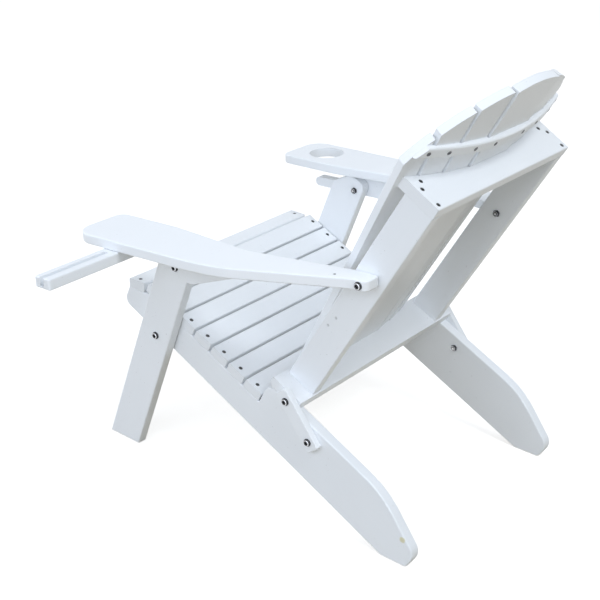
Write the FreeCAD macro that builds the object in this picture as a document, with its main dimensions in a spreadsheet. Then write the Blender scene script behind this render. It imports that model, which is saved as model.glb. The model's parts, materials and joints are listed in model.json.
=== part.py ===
import FreeCAD, Part
import math
import os
import Sketcher

# Folding adirondack chair in moulded plastic lumber.
# X runs to the sitter's left, Y to the rear, Z up. The origin is on the floor, mid footprint.

VALUES = (
    ("board", 25.0),
    ("seat_slat", 22.0),
    ("arm_board", 22.0),
    ("back_slat", 19.0),
    ("link_plate", 15.0),
    ("phone_board", 24.0),
    ("edge_round", 3.0),
    ("slide_gap", 0.3),
    ("pin_clear", 0.05),
    ("seat_half", 281.0),
    ("seat_angle", 25.3),
    ("rail_low", 151.6),
    ("rail_depth", 72.5),
    ("raised_depth", 132.0),
    ("nose_over", 2.2),
    ("rail_step", 76.0),
    ("rail_bend", 256.0),
    ("rail_tail", 381.0),
    ("tail_drop", 65.0),
    ("foot_rear", 418.0),
    ("step_round", 26.0),
    ("bend_round", 200.0),
    ("tip_round", 30.0),
    ("heel_round", 12.0),
    ("nose_round", 20.0),
    ("slat_width", 47.0),
    ("slat_pitch", 52.75),
    ("slat_last", 102.0),
    ("front_gap", 5.7),
    ("level_drop", 6.1),
    ("screw_inset", 12.5),
    ("screw_head", 9.0),
    ("screw_head_high", 3.0),
    ("screw_shank", 4.4),
    ("screw_long", 44.0),
    ("screw_sink", 0.4),
    ("screw_lift", 1.2),
    ("small_head", 6.0),
    ("small_long", 20.0),
    ("screw_clear", 0.1),
    ("bolt_shank", 10.0),
    ("bolt_head", 17.0),
    ("bolt_head_high", 6.0),
    ("bolt_nut", 16.0),
    ("bolt_nut_high", 7.0),
    ("washer_wide", 24.0),
    ("leg_gap", 2.0),
    ("leg_angle", 20.5),
    ("leg_front", 48.9),
    ("leg_rear", 38.8),
    ("leg_pivot_d", 358.2),
    ("leg_pivot_m", 172.9),
    ("leg_reach", 217.8),
    ("leg_shift", 16.8),
    ("leg_crown", 28.8),
    ("leg_shoulder", 42.0),
    ("link_pivot_d", 70.1),
    ("link_pivot_m", 255.4),
    ("link_upper_d", 15.4),
    ("link_half", 17.0),
    ("link_foot", 21.5),
    ("link_head", 25.0),
    ("back_angle", 29.8),
    ("upright_outer", 240.0),
    ("upright_front", 88.0),
    ("upright_rear", 16.2),
    ("upright_top", 834.8),
    ("back_apex", 69.2),
    ("back_radius", 761.0),
    ("back_low", 280.0),
    ("back_half_low", 184.5),
    ("fan_ratio", 0.118),
    ("slat_gap", 6.0),
    ("split_ratio_one", 0.279),
    ("split_ratio_two", 0.570),
    ("split_ratio_three", 0.818),
    ("crown_radius", 300.0),
    ("crown_top", 1055.3),
    ("tab_front", 95.7),
    ("tab_rear", 13.0),
    ("tab_relief", 10.0),
    ("brace_low", 910.5),
    ("brace_high", 25.0),
    ("brace_half", 252.0),
    ("brace_cut", 19.0),
    ("brace_apex", 57.1),
    ("brace_radius", 740.0),
    ("brace_round", 4.0),
    ("arm_angle", 3.26),
    ("arm_pivot_n", 49.6),
    ("arm_pivot_u", 640.6),
    ("arm_front", 656.8),
    ("arm_outer", 410.0),
    ("arm_outer_bend", 312.8),
    ("arm_inner", 270.0),
    ("arm_waist", 289.0),
    ("arm_tongue", 43.0),
    ("arm_tail", 18.5),
    ("tongue_flat", 14.0),
    ("bracket_deep", 64.5),
    ("bracket_nose", 41.0),
    ("bracket_belly", 30.0),
    ("bracket_front", 29.5),
    ("bracket_flat", 48.0),
    ("bracket_rear", 172.0),
    ("bracket_end", 20.0),
    ("cup_deep", 54.7),
    ("cup_flat", 59.0),
    ("cup_rear", 189.0),
    ("cup_tongue", 140.0),
    ("cup_tongue_deep", 22.8),
    ("cup_x", 340.7),
    ("cup_back", 566.5),
    ("cup_radius", 43.0),
    ("phone_pivot_x", 363.0),
    ("phone_back", 547.0),
    ("phone_width", 45.0),
    ("phone_reach", 227.0),
    ("phone_slot", 11.5),
    ("phone_slot_deep", 19.0),
    ("phone_slot_from", 57.0),
)

doc = FreeCAD.newDocument("chair")
sheet = doc.addObject("Spreadsheet::Sheet", "sizes")


class Size:
    """A number kept together with the sheet formula it comes from."""

    def __init__(self, value, text):
        self.value = float(value)
        self.text = text

    def __add__(self, other):
        other = sized(other)
        return Size(self.value + other.value, "(%s + %s)" % (self.text, other.text))

    def __radd__(self, other):
        return sized(other) + self

    def __sub__(self, other):
        other = sized(other)
        return Size(self.value - other.value, "(%s - %s)" % (self.text, other.text))

    def __rsub__(self, other):
        return sized(other) - self

    def __mul__(self, other):
        other = sized(other)
        return Size(self.value * other.value, "(%s * %s)" % (self.text, other.text))

    def __rmul__(self, other):
        return sized(other) * self

    def __truediv__(self, other):
        other = sized(other)
        return Size(self.value / other.value, "(%s / %s)" % (self.text, other.text))

    def __neg__(self):
        return Size(-self.value, "(0 - %s)" % self.text)


def sized(item):
    if isinstance(item, Size):
        return item
    return Size(item, "(%r)" % float(item))


def sine(angle):
    angle = sized(angle)
    return Size(math.sin(math.radians(angle.value)), "sin(%s * 1 deg)" % angle.text)


def cosine(angle):
    angle = sized(angle)
    return Size(math.cos(math.radians(angle.value)), "cos(%s * 1 deg)" % angle.text)


def root(item):
    item = sized(item)
    return Size(math.sqrt(item.value), "sqrt(%s)" % item.text)


class Sizes:
    pass


S = Sizes()
for row, (name, value) in enumerate(VALUES, start=1):
    sheet.set("A%d" % row, name)
    sheet.set("B%d" % row, str(value))
    sheet.setAlias("B%d" % row, name)
    setattr(S, name, Size(value, "sizes.%s" % name))
doc.recompute()


# Helpers for sketches, pads, rounds and holes


def bind(item, prop, size):
    size = sized(size)
    item.setExpression(prop, size.text)


def vector(x, y, z):
    return FreeCAD.Vector(sized(x).value, sized(y).value, sized(z).value)


def turned(angle, y=0.0, z=0.0):
    spin = FreeCAD.Rotation(FreeCAD.Vector(1, 0, 0), sized(angle).value)
    return FreeCAD.Placement(vector(0.0, y, z), spin)


def aimed(frame, x, y, z, direction):
    spin = FreeCAD.Rotation(FreeCAD.Vector(0, 0, 1), FreeCAD.Vector(*direction))
    return frame.multiply(FreeCAD.Placement(vector(x, y, z), spin))


def new_body(name, frame):
    body = doc.addObject("PartDesign::Body", name)
    body.Placement = frame
    return body


def new_sketch(body, plane, offset):
    sketch = body.newObject("Sketcher::SketchObject", body.Name + "_outline")
    origin = [item for item in body.Origin.OriginFeatures if item.Role == plane][0]
    sketch.AttachmentSupport = [(origin, "")]
    sketch.MapMode = "FlatFace"
    offset = sized(offset)
    sketch.AttachmentOffset = FreeCAD.Placement(FreeCAD.Vector(0, 0, offset.value), FreeCAD.Rotation())
    bind(sketch, "AttachmentOffset.Base.z", offset)
    return sketch


def hold(sketch, kind, geometry, end, size):
    size = sized(size)
    index = sketch.addConstraint(Sketcher.Constraint(kind, geometry, end, size.value))
    sketch.setExpression("Constraints[%d]" % index, size.text)


def polygon(sketch, points):
    corners = [vector(x, y, 0.0) for x, y in points]
    count = len(corners)
    for index in range(count):
        sketch.addGeometry(Part.LineSegment(corners[index], corners[(index + 1) % count]), False)
    for index in range(count):
        sketch.addConstraint(Sketcher.Constraint("Coincident", index, 2, (index + 1) % count, 1))
    for index, (x, y) in enumerate(points):
        hold(sketch, "DistanceX", index, 1, x)
        hold(sketch, "DistanceY", index, 1, y)


def arc_topped(sketch, points, centre, radius):
    # The last two points close the outline through an arc about the centre.
    corners = [vector(x, y, 0.0) for x, y in points]
    count = len(corners)
    for index in range(count - 1):
        sketch.addGeometry(Part.LineSegment(corners[index], corners[index + 1]), False)
    middle = vector(centre[0], centre[1], 0.0)
    first = corners[-1].sub(middle)
    last = corners[0].sub(middle)
    circle = Part.Circle(middle, FreeCAD.Vector(0, 0, 1), sized(radius).value)
    start = math.atan2(first.y, first.x)
    stop = math.atan2(last.y, last.x)
    if stop < start:
        stop += 2 * math.pi
    arc = sketch.addGeometry(Part.ArcOfCircle(circle, start, stop), False)
    for index in range(count - 2):
        sketch.addConstraint(Sketcher.Constraint("Coincident", index, 2, index + 1, 1))
    sketch.addConstraint(Sketcher.Constraint("Coincident", count - 2, 2, arc, 1))
    sketch.addConstraint(Sketcher.Constraint("Coincident", 0, 1, arc, 2))
    hold(sketch, "DistanceX", arc, 3, centre[0])
    hold(sketch, "DistanceY", arc, 3, centre[1])
    radius_of(sketch, arc, radius)
    for index, (x, y) in enumerate(points):
        line = min(index, count - 2)
        end = 1 if index < count - 1 else 2
        hold(sketch, "DistanceX", line, end, x)
        if 0 < index < count - 1:
            hold(sketch, "DistanceY", line, end, y)


def radius_of(sketch, arc, radius):
    radius = sized(radius)
    index = sketch.addConstraint(Sketcher.Constraint("Radius", arc, radius.value))
    sketch.setExpression("Constraints[%d]" % index, radius.text)


def padded(body, sketch, length):
    pad = body.newObject("PartDesign::Pad", body.Name + "_pad")
    pad.Profile = sketch
    bind(pad, "Length", length)
    sketch.Visibility = False
    doc.recompute()
    return pad


def side_board(name, frame, points, near, thick):
    body = new_body(name, frame)
    sketch = new_sketch(body, "YZ_Plane", near)
    polygon(sketch, points)
    padded(body, sketch, thick)
    return body


def near_value(one, other):
    return abs(one - other) < 1e-3


def rounded(body, radius, wanted):
    shape = body.Tip.Shape
    names = []
    for number, edge in enumerate(shape.Edges, start=1):
        if wanted(edge):
            names.append("Edge%d" % number)
    if not names:
        raise RuntimeError("no edge to round on " + body.Name)
    before = shape.Volume
    fillet = body.newObject("PartDesign::Fillet", body.Name + "_round")
    fillet.Base = (body.Tip if body.Tip != fillet else fillet.BaseFeature, names)
    bind(fillet, "Radius", radius)
    body.Tip = fillet
    doc.recompute()
    if fillet.Shape.isNull() or near_value(fillet.Shape.Volume, before):
        raise RuntimeError("round left no mark on " + body.Name)


def corner(axis, one, two):
    # Picks the straight edges along an axis through one corner of an outline.
    others = [index for index in range(3) if index != axis]
    goal = (sized(one).value, sized(two).value)

    def wanted(edge):
        ends = [vertex.Point for vertex in edge.Vertexes]
        if len(ends) != 2:
            return False
        return all(
            abs(end[others[slot]] - goal[slot]) < 1e-2 for end in ends for slot in range(2)
        )

    return wanted


def rim(axis, *levels):
    # Picks every edge lying flat in one of the given planes across an axis.
    goals = [sized(level).value for level in levels]

    def wanted(edge):
        box = edge.BoundBox
        low = (box.XMin, box.YMin, box.ZMin)[axis]
        high = (box.XMax, box.YMax, box.ZMax)[axis]
        return any(abs(low - goal) < 1e-2 and abs(high - goal) < 1e-2 for goal in goals)

    return wanted


def along(axis):
    # Picks every straight edge that runs along an axis.
    def wanted(edge):
        box = edge.BoundBox
        spans = [box.XLength, box.YLength, box.ZLength]
        return all(spans[index] < 1e-2 for index in range(3) if index != axis)

    return wanted


def cylinder(name, radius, high, frame):
    item = doc.addObject("Part::Cylinder", name)
    bind(item, "Radius", radius)
    bind(item, "Height", high)
    item.Placement = frame
    return item


def drilled(label, base, tools):
    cutter = doc.addObject("Part::Compound", label + "_tools")
    cutter.Links = tools
    cut = doc.addObject("Part::Cut", label + "_cut")
    cut.Base = base
    cut.Tool = cutter
    cut.Refine = True
    doc.recompute()
    if cut.Shape.Volume >= base.Shape.Volume - 1e-3:
        raise RuntimeError("holes left no mark on " + label)
    return cut


def grouped(name, items):
    group = doc.addObject("Part::Compound", name)
    group.Links = items
    doc.recompute()
    return group


NODES = []


def keep(label, item):
    item.Label = label
    NODES.append((label, item))
    return item


# Frames of the leaning groups

seat_frame = turned(-S.seat_angle)
back_frame = turned(-S.back_angle)
level_frame = turned(0.0)


def seat_world(d, m):
    y = d * cosine(S.seat_angle) + m * sine(S.seat_angle)
    z = m * cosine(S.seat_angle) - d * sine(S.seat_angle)
    return y, z


def back_world(n, u):
    y = n * cosine(S.back_angle) + u * sine(S.back_angle)
    z = u * cosine(S.back_angle) - n * sine(S.back_angle)
    return y, z


rail_top = S.rail_low + S.rail_depth
raised_top = S.rail_low + S.raised_depth
board_top = raised_top + S.board
board_mid = raised_top + S.board / 2

leg_pivot = seat_world(-S.leg_pivot_d, S.leg_pivot_m)
link_pivot = seat_world(S.link_pivot_d, S.link_pivot_m)
link_upper = seat_world(-S.link_upper_d, board_mid)
arm_pivot = back_world(-S.arm_pivot_n, S.arm_pivot_u)
arm_hinge = (
    leg_pivot[0] + S.leg_shift * cosine(S.leg_angle) + S.leg_reach * sine(S.leg_angle),
    leg_pivot[1] - S.leg_shift * sine(S.leg_angle) + S.leg_reach * cosine(S.leg_angle),
)
leg_frame = turned(-S.leg_angle, leg_pivot[0], leg_pivot[1])
arm_frame = turned(S.arm_angle, arm_pivot[0], arm_pivot[1])
hinge_run = arm_hinge[0] - arm_pivot[0]
hinge_fall = arm_hinge[1] - arm_pivot[1]
hinge_y = hinge_run * cosine(S.arm_angle) + hinge_fall * sine(S.arm_angle)
hinge_z = hinge_fall * cosine(S.arm_angle) - hinge_run * sine(S.arm_angle)

pin_hole = S.bolt_shank / 2 + S.pin_clear
stringer_in = S.seat_half - S.board
link_out = S.seat_half + S.link_plate
leg_in = S.seat_half + S.leg_gap
leg_out = leg_in + S.board
bracket_out = leg_out + S.board
upright_in = S.upright_outer - S.board
tongue_out = S.upright_outer + S.arm_tongue


def pin_tool(name, y, z):
    return cylinder(name, pin_hole, 4 * S.seat_half, aimed(level_frame, -2 * S.seat_half, y, z, (1, 0, 0)))


def screw(name, frame, long, wide=S.screw_head):
    # The screw stands on the board face with its head up along the local Z axis.
    head_frame = frame.multiply(FreeCAD.Placement(vector(0, 0, -S.screw_sink - S.screw_head_high), FreeCAD.Rotation()))
    shank_frame = frame.multiply(FreeCAD.Placement(vector(0, 0, -long), FreeCAD.Rotation()))
    head = cylinder(name + "_head", wide / 2, S.screw_head_high, head_frame)
    shank = cylinder(name + "_shank", S.screw_shank / 2, long - S.screw_sink - S.screw_head_high / 2, shank_frame)
    whole = doc.addObject("Part::Fuse", name)
    whole.Base = head
    whole.Tool = shank
    whole.Refine = True
    return whole


def screw_tools(name, frame, long, wide=S.screw_head):
    deep = S.screw_sink + S.screw_head_high + S.screw_clear
    head_frame = frame.multiply(FreeCAD.Placement(vector(0, 0, -deep), FreeCAD.Rotation()))
    shank_frame = frame.multiply(FreeCAD.Placement(vector(0, 0, -long - S.screw_clear), FreeCAD.Rotation()))
    head = cylinder(name + "_bore", wide / 2 + S.screw_clear, deep + 1.0, head_frame)
    shank = cylinder(name + "_hole", S.screw_shank / 2 + S.screw_clear, long + S.screw_clear, shank_frame)
    return [head, shank]


def turned_solid(name, points, frame):
    # A pin drawn as half a section, X along its axis, and turned round.
    body = new_body(name, frame)
    sketch = new_sketch(body, "XY_Plane", 0.0)
    polygon(sketch, points)
    solid = body.newObject("PartDesign::Revolution", name + "_turn")
    solid.Profile = sketch
    solid.ReferenceAxis = (sketch, ["H_Axis"])
    solid.Angle = 360.0
    doc.recompute()
    return body


def sided(side, y, z):
    spin = FreeCAD.Rotation(FreeCAD.Vector(0, 0, 1), 0.0 if side > 0 else 180.0)
    return FreeCAD.Placement(vector(0.0, y, z), spin)


def head_points(face):
    # Domed cap outside a face at X = face.
    top = face + S.bolt_head_high
    return [
        (top, 0.0),
        (top, S.bolt_head / 2 - 3.0),
        (top - 1.0, S.bolt_head / 2 - 1.2),
        (top - 3.0, S.bolt_head / 2),
        (face, S.bolt_head / 2),
    ]


def through_bolt(name, side, y, z, inner, outer):
    low = inner - S.bolt_nut_high
    points = head_points(outer)
    points += [
        (outer, S.bolt_shank / 2),
        (inner, S.bolt_shank / 2),
        (inner, S.bolt_nut / 2),
        (low + 1.0, S.bolt_nut / 2),
        (low, S.bolt_nut / 2 - 1.0),
        (low, 0.0),
    ]
    return turned_solid(name, points, sided(side, y, z))


# Seat: two stringers, eight slats and their screws

slat_rows = [-S.slat_last - S.slat_pitch * float(8 - number) for number in range(2, 9)]
second_front = seat_world(slat_rows[0] - S.slat_width / 2, rail_top)
front_centre = second_front[0] - S.front_gap - S.slat_width / 2
front_level = second_front[1] - S.level_drop
nose_y = front_centre - S.slat_width / 2 - S.nose_over
nose_d = nose_y * cosine(S.seat_angle) - front_level * sine(S.seat_angle)
nose_m = nose_y * sine(S.seat_angle) + front_level * cosine(S.seat_angle)
tan_slope = sine(S.seat_angle) / cosine(S.seat_angle)
level_meets_rail = (rail_top * cosine(S.seat_angle) - front_level) / sine(S.seat_angle)
stringer_outline = [
    (nose_d, S.rail_low),
    (S.rail_low / tan_slope, S.rail_low),
    (S.foot_rear * cosine(S.seat_angle), S.foot_rear * sine(S.seat_angle)),
    (S.rail_tail, raised_top - S.tail_drop),
    (S.rail_bend, raised_top),
    (-S.rail_step, raised_top),
    (-S.rail_step, rail_top),
    (level_meets_rail, rail_top),
    (nose_d, nose_m),
]
screw_x = S.seat_half - S.screw_inset


def slat_screw_frames(side):
    frames = [aimed(level_frame, side * screw_x, front_centre, front_level + S.seat_slat, (0, 0, 1))]
    for row in slat_rows:
        frames.append(aimed(seat_frame, side * screw_x, row, rail_top + S.seat_slat, (0, 0, 1)))
    return frames


for side, hand in ((1, "left"), (-1, "right")):
    name = hand + "_stringer"
    near = stringer_in if side > 0 else -S.seat_half
    body = side_board(name + "_body", seat_frame, stringer_outline, near, S.board)
    rounded(body, S.nose_round, corner(0, *stringer_outline[0]))
    rounded(body, S.heel_round, corner(0, *stringer_outline[2]))
    rounded(body, S.tip_round, corner(0, *stringer_outline[3]))
    rounded(body, S.bend_round, corner(0, *stringer_outline[4]))
    rounded(body, S.step_round, corner(0, *stringer_outline[5]))
    rounded(body, S.edge_round, corner(0, *stringer_outline[6]))
    rounded(body, S.edge_round, rim(0, near, near + S.board))
    tools = [
        pin_tool(name + "_pin_a", *leg_pivot),
        pin_tool(name + "_pin_b", *link_pivot),
    ]
    for index, frame in enumerate(slat_screw_frames(side)):
        tools.append(screw_tools("%s_screw_%d" % (name, index + 1), frame, S.screw_long)[1])
    keep(name, drilled(name, body, tools))

seat_screws = []
for side, hand in ((1, "left"), (-1, "right")):
    for index, frame in enumerate(slat_screw_frames(side)):
        seat_screws.append(screw("seat_screw_%s_%d" % (hand, index + 1), frame, S.screw_long))

for number in range(1, 9):
    name = "seat_slat_%d" % number
    half = S.slat_width / 2
    if number == 1:
        frame = level_frame
        centre = front_centre
        low = front_level
    else:
        frame = seat_frame
        centre = slat_rows[number - 2]
        low = rail_top
    section = [
        (centre - half, low),
        (centre + half, low),
        (centre + half, low + S.seat_slat),
        (centre - half, low + S.seat_slat),
    ]
    body = side_board(name + "_body", frame, section, -S.seat_half, 2 * S.seat_half)
    rounded(body, S.edge_round, along(0))
    tools = []
    for side, hand in ((1, "left"), (-1, "right")):
        spot = slat_screw_frames(side)[number - 1]
        tools += screw_tools("%s_%s" % (name, hand), spot, S.screw_long)
    keep(name, drilled(name, body, tools))
keep("seat_slat_screws", grouped("seat_screw_group", seat_screws))

# Fold links outside the stringers

link_run = link_upper[0] - link_pivot[0]
link_rise = link_upper[1] - link_pivot[1]
link_span = root(link_run * link_run + link_rise * link_rise)
link_angle = math.degrees(math.atan2(link_rise.value, link_run.value))
link_frame = turned(link_angle, *link_pivot)
link_outline = [
    (-S.link_foot, -S.link_half),
    (link_span + S.link_head, -S.link_half),
    (link_span + S.link_head, S.link_half),
    (-S.link_foot, S.link_half),
]
for side, hand in ((1, "left"), (-1, "right")):
    name = hand + "_fold_link"
    near = S.seat_half if side > 0 else -link_out
    body = side_board(name + "_body", link_frame, link_outline, near, S.link_plate)
    for spot in (0, 3):
        rounded(body, S.link_half * 0.25, corner(0, *link_outline[spot]))
    for spot in (1, 2):
        rounded(body, S.link_half * 0.5, corner(0, *link_outline[spot]))
    rounded(body, S.edge_round * 0.7, rim(0, near, near + S.link_plate))
    tools = [
        pin_tool(name + "_pin_a", *link_pivot),
        pin_tool(name + "_pin_b", *link_upper),
    ]
    keep(name, drilled(name, body, tools))

lower_bolts = [
    through_bolt("link_lower_bolt_%s" % hand, side, link_pivot[0], link_pivot[1], stringer_in, link_out)
    for side, hand in ((1, "left"), (-1, "right"))
]
keep("link_lower_bolts", grouped("link_lower_bolt_group", lower_bolts))


def shoulder_screw(name, side, y, z):
    tip = S.seat_half - S.screw_long
    points = head_points(link_out)
    points += [
        (link_out, S.bolt_shank / 2),
        (S.seat_half, S.bolt_shank / 2),
        (S.seat_half, S.bolt_shank * 0.35),
        (tip, S.bolt_shank * 0.35),
        (tip, 0.0),
    ]
    return turned_solid(name, points, sided(side, y, z))


upper_screws = [
    shoulder_screw("link_upper_screw_%s" % hand, side, *link_upper)
    for side, hand in ((1, "left"), (-1, "right"))
]
keep("link_upper_screws", grouped("link_upper_screw_group", upper_screws))

# Front legs with pivot bolts and spacing washers


def leg_foot(y):
    return (y * sine(S.leg_angle) - leg_pivot[1]) / cosine(S.leg_angle)


leg_top = S.leg_reach + S.leg_crown
leg_outline = [
    (-S.leg_front, leg_foot(-S.leg_front)),
    (S.leg_rear, leg_foot(S.leg_rear)),
    (S.leg_rear, leg_top),
    (S.leg_rear - S.leg_front, leg_top),
    (-S.leg_front, leg_top - S.leg_shoulder),
]
for side, hand in ((1, "left"), (-1, "right")):
    name = hand + "_front_leg"
    near = leg_in if side > 0 else -leg_out
    body = side_board(name + "_body", leg_frame, leg_outline, near, S.board)
    rounded(body, S.nose_round, corner(0, *leg_outline[2]))
    rounded(body, S.nose_round, corner(0, *leg_outline[3]))
    rounded(body, S.nose_round, corner(0, *leg_outline[4]))
    rounded(body, S.edge_round, rim(0, near, near + S.board))
    tools = [
        pin_tool(name + "_pin_a", *leg_pivot),
        pin_tool(name + "_pin_b", *arm_hinge),
    ]
    keep(name, drilled(name, body, tools))

leg_bolts = [
    through_bolt("leg_pivot_bolt_%s" % hand, side, leg_pivot[0], leg_pivot[1], stringer_in, leg_out)
    for side, hand in ((1, "left"), (-1, "right"))
]
keep("leg_pivot_bolts", grouped("leg_pivot_bolt_group", leg_bolts))

washers = []
for side, hand in ((1, "left"), (-1, "right")):
    ring = [
        (S.seat_half, pin_hole),
        (leg_in, pin_hole),
        (leg_in, S.washer_wide / 2),
        (S.seat_half, S.washer_wide / 2),
    ]
    washers.append(turned_solid("leg_washer_%s" % hand, ring, sided(side, *leg_pivot)))
keep("leg_pivot_washers", grouped("leg_washer_group", washers))

# Back: uprights, cross boards, slats and brace

splits = (-1.0, -S.split_ratio_three, -S.split_ratio_two, -S.split_ratio_one, S.split_ratio_one, S.split_ratio_two, S.split_ratio_three, 1.0)
middle_level = (S.back_low + S.upright_top) / 2 + 100.0


def back_half(level):
    return S.back_half_low + S.fan_ratio * (level - S.back_low)


def slat_seat(index):
    # Centre of one slat on the arc and the slope of its flat rear face.
    x = (sized(splits[index]) + sized(splits[index + 1])) / 2 * back_half(middle_level)
    n = -S.back_apex - x * x / (2 * S.back_radius)
    return x, n, x / S.back_radius


def facets(level, limit):
    # Front edge of a board that meets the flat rear faces of all seven slats.
    points = []
    for index in range(7):
        centre, n, slope = slat_seat(index)
        left = splits[index] * back_half(level)
        right = splits[index + 1] * back_half(level)
        if index == 0:
            left = -limit
        if index == 6:
            right = limit
        points.append((left, n - slope * (left - centre)))
        points.append((right, n - slope * (right - centre)))
    return points


tilt = S.back_angle - S.seat_angle


def on_board(n):
    return (board_top + n * sine(tilt)) / cosine(tilt)


upright_outline = [
    (-S.upright_front, on_board(-S.upright_front)),
    (-S.upright_rear, on_board(-S.upright_rear)),
    (-S.upright_rear, S.upright_top),
    (-S.upright_front, S.upright_top),
]
side_screws = []
for side, hand in ((1, "left"), (-1, "right")):
    name = hand + "_back_upright"
    near = upright_in if side > 0 else -S.upright_outer
    body = side_board(name + "_body", back_frame, upright_outline, near, S.board)
    rounded(body, S.edge_round, along(2))
    tools = [pin_tool(name + "_pin", *arm_pivot)]
    for index, n in enumerate((-27.0, -68.0)):
        spot = aimed(back_frame, side * (upright_in + S.board / 2), n, S.upright_top + S.board, (0, 0, 1))
        tools.append(screw_tools("%s_screw_%d" % (name, index + 1), spot, S.screw_long)[1])
    for index, (n, u) in enumerate(((-66.0, 505.0), (-72.0, 476.0))):
        label = "%s_side_screw_%d" % (name, index + 1)
        spot = aimed(back_frame, side * S.upright_outer, n, u, (side, 0, 0))
        tools += screw_tools(label, spot, S.small_long, S.small_head)
        side_screws.append(screw(label, spot, S.small_long, S.small_head))
    keep(name, drilled(name, body, tools))
keep("upright_side_screws", grouped("upright_side_screw_group", side_screws))

board_screws = []
board_tools = []
for side, hand in ((1, "left"), (-1, "right")):
    spots = (
        (upright_in + S.board / 2, -27.0, S.screw_long),
        (upright_in + S.board / 2, -68.0, S.screw_long),
        (upright_in - 2.0, -84.0, S.board - 4.0),
    )
    for index, (x, n, long) in enumerate(spots):
        spot = aimed(back_frame, side * x, n, S.upright_top + S.board, (0, 0, 1))
        label = "board_screw_%s_%d" % (hand, index + 1)
        board_screws.append(screw(label, spot, long))
        board_tools += screw_tools(label, spot, long)

upper_outline = facets(S.upright_top + S.board / 2, S.upright_outer)
upper_outline += [(S.upright_outer, -S.upright_rear), (-S.upright_outer, -S.upright_rear)]
body = new_body("upper_cross_board_body", back_frame)
sketch = new_sketch(body, "XY_Plane", S.upright_top)
polygon(sketch, upper_outline)
padded(body, sketch, S.board)
rear_edges = rim(1, -S.upright_rear)
rounded(body, S.edge_round, lambda edge: rear_edges(edge) and along(0)(edge))
keep("upper_cross_board", drilled("upper_cross_board", body, board_tools))
keep("cross_board_screws", grouped("cross_board_screw_group", board_screws))

lower_level = (board_mid - 50.0 * sine(tilt)) / cosine(tilt)
front_edge = facets(lower_level, back_half(lower_level))
lower_outline = [(-S.seat_half, -S.tab_front), (-back_half(lower_level), -S.tab_front)]
lower_outline += front_edge
lower_outline += [(back_half(lower_level), -S.tab_front), (S.seat_half, -S.tab_front)]
lower_outline += [(S.seat_half, -S.tab_rear), (-S.seat_half, -S.tab_rear)]
body = new_body("lower_cross_board_body", back_frame)
sketch = new_sketch(body, "XY_Plane", lower_level - S.board)
polygon(sketch, lower_outline)
padded(body, sketch, 2 * S.board)
slab = doc.addObject("Part::Box", "lower_cross_board_slab")
bind(slab, "Length", 2 * S.seat_half + 20.0)
bind(slab, "Width", 6 * S.tab_front)
bind(slab, "Height", S.board)
slab.Placement = seat_frame.multiply(
    FreeCAD.Placement(vector(-S.seat_half - 10.0, -3 * S.tab_front, raised_top), FreeCAD.Rotation())
)
planed = doc.addObject("Part::Common", "lower_cross_board_planed")
planed.Base = body
planed.Tool = slab
doc.recompute()
# The lower front edge of the tabs is cut off, so that they clear the stringers while folding.
edge_level = (raised_top - S.tab_front * sine(tilt)) / cosine(tilt)
relief_edge = edge_level * sine(tilt) - S.tab_front * cosine(tilt)
end_tools = []
for side, hand in ((1, "left"), (-1, "right")):
    spot = aimed(level_frame, side * S.seat_half, link_upper[0], link_upper[1], (-side, 0, 0))
    end_tools.append(cylinder("board_end_%s" % hand, S.bolt_shank * 0.35 + S.screw_clear, S.screw_long + 0.5, spot))
    relief = doc.addObject("Part::Box", "board_relief_%s" % hand)
    bind(relief, "Length", S.seat_half - upright_in + 5.0)
    bind(relief, "Width", S.tab_relief * root(2.0))
    bind(relief, "Height", S.tab_relief * root(2.0))
    start = upright_in if side > 0 else -S.seat_half - 5.0
    relief.Placement = seat_frame.multiply(
        FreeCAD.Placement(
            vector(start, relief_edge, raised_top - S.tab_relief),
            FreeCAD.Rotation(FreeCAD.Vector(1, 0, 0), 45.0),
        )
    )
    end_tools.append(relief)
keep("lower_cross_board", drilled("lower_cross_board", planed, end_tools))

crown_centre = S.crown_top - S.crown_radius
brace_mid = S.brace_low + S.brace_high / 2


def brace_rear(x):
    return -S.brace_apex - S.brace_radius + root(S.brace_radius * S.brace_radius - x * x)


brace_spots = []
brace_shares = (
    0.69 * S.split_ratio_one,
    (S.split_ratio_one + S.split_ratio_two) / 2,
    (S.split_ratio_two + S.split_ratio_three) / 2,
    (2 * S.split_ratio_three + 1.0) / 3,
)
for share in brace_shares:
    for side in (1, -1):
        place = share * back_half(brace_mid) * float(side)
        n = brace_rear(place)
        lean = math.asin(place.value / S.brace_radius.value)
        brace_spots.append((place, n, (math.sin(lean), math.cos(lean), 0.0)))
brace_frames = [
    aimed(back_frame, x + S.screw_lift * way[0], n + S.screw_lift * way[1], brace_mid, way)
    for x, n, way in brace_spots
]
brace_long = S.small_long + 4.0

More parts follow.
